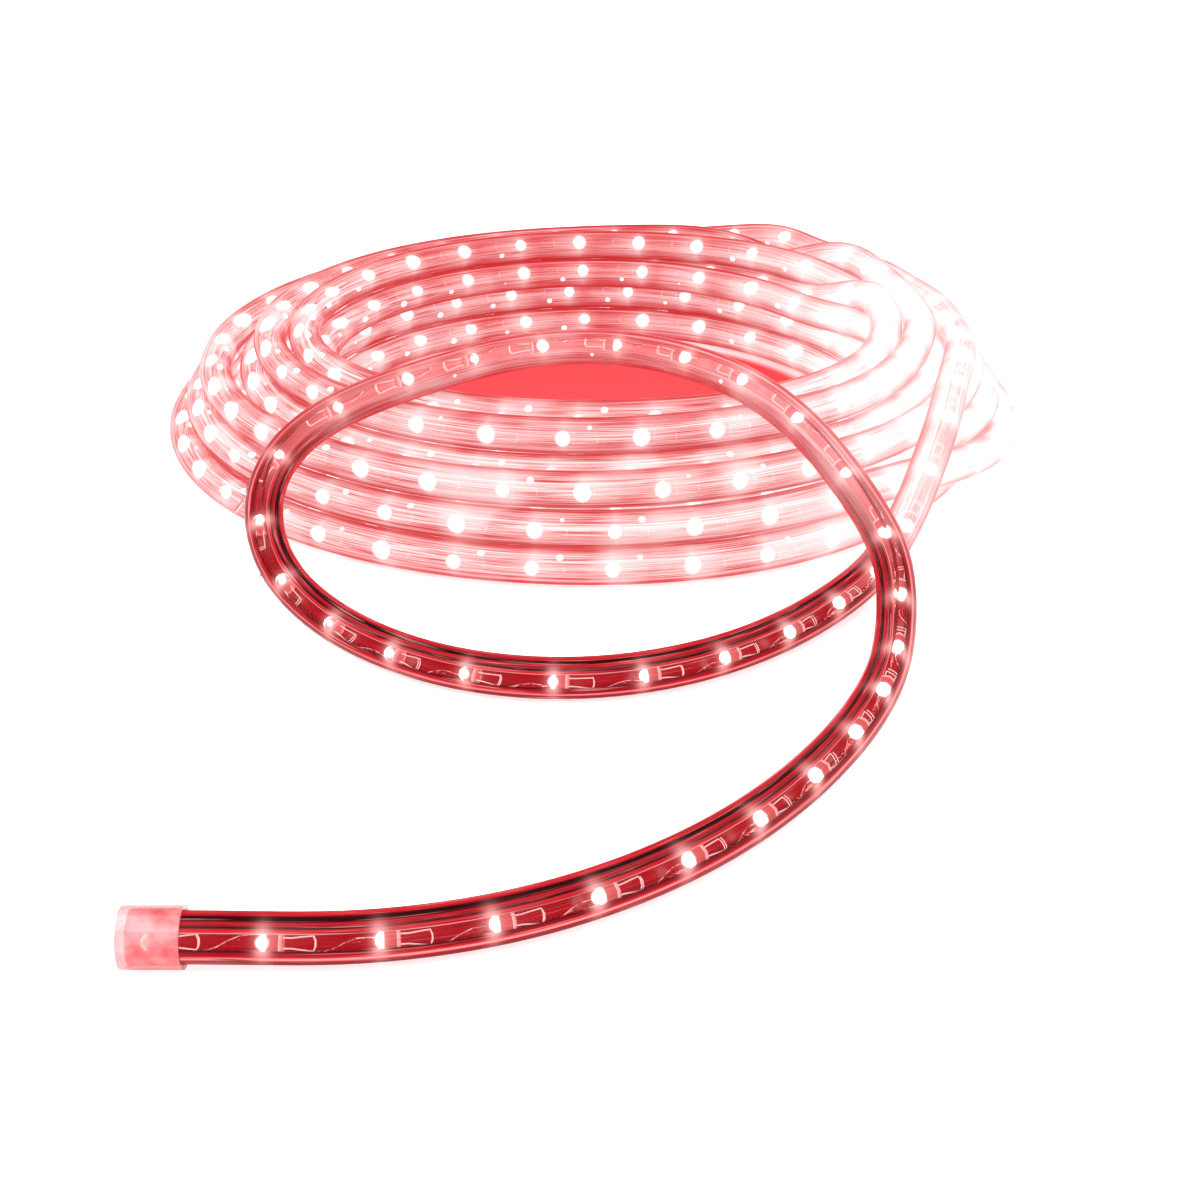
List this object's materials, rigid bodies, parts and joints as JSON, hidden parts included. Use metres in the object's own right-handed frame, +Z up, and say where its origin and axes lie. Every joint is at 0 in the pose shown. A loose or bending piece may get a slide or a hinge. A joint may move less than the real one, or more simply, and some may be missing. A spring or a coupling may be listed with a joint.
{
  "type": "led rope light",
  "caption": "Red LED rope light, 13 mm round, wound in a heaped coil with one loop thrown over its front and a free tail lying ahead of it",
  "frame": {"origin": "middle of the whole footprint, on the floor that the coil and the tail lie on", "axes": "+Z up; +Y from the free tail towards the coil; +X to the right as seen from the tail"},
  "size_m": [0.351, 0.5683, 0.063],
  "materials": {
    "rope_red": "clear soft PVC lit red from inside, smooth and glossy",
    "cap_clear": "clear moulded cap, smooth"
  },
  "bodies": {
    "root": {"rope_coil": "rope_red", "rope_loop": "rope_red", "rope_inner_end": "rope_red", "tail_end_cap": "cap_clear", "inner_end_cap": "cap_clear"}
  },
  "joints": []
}
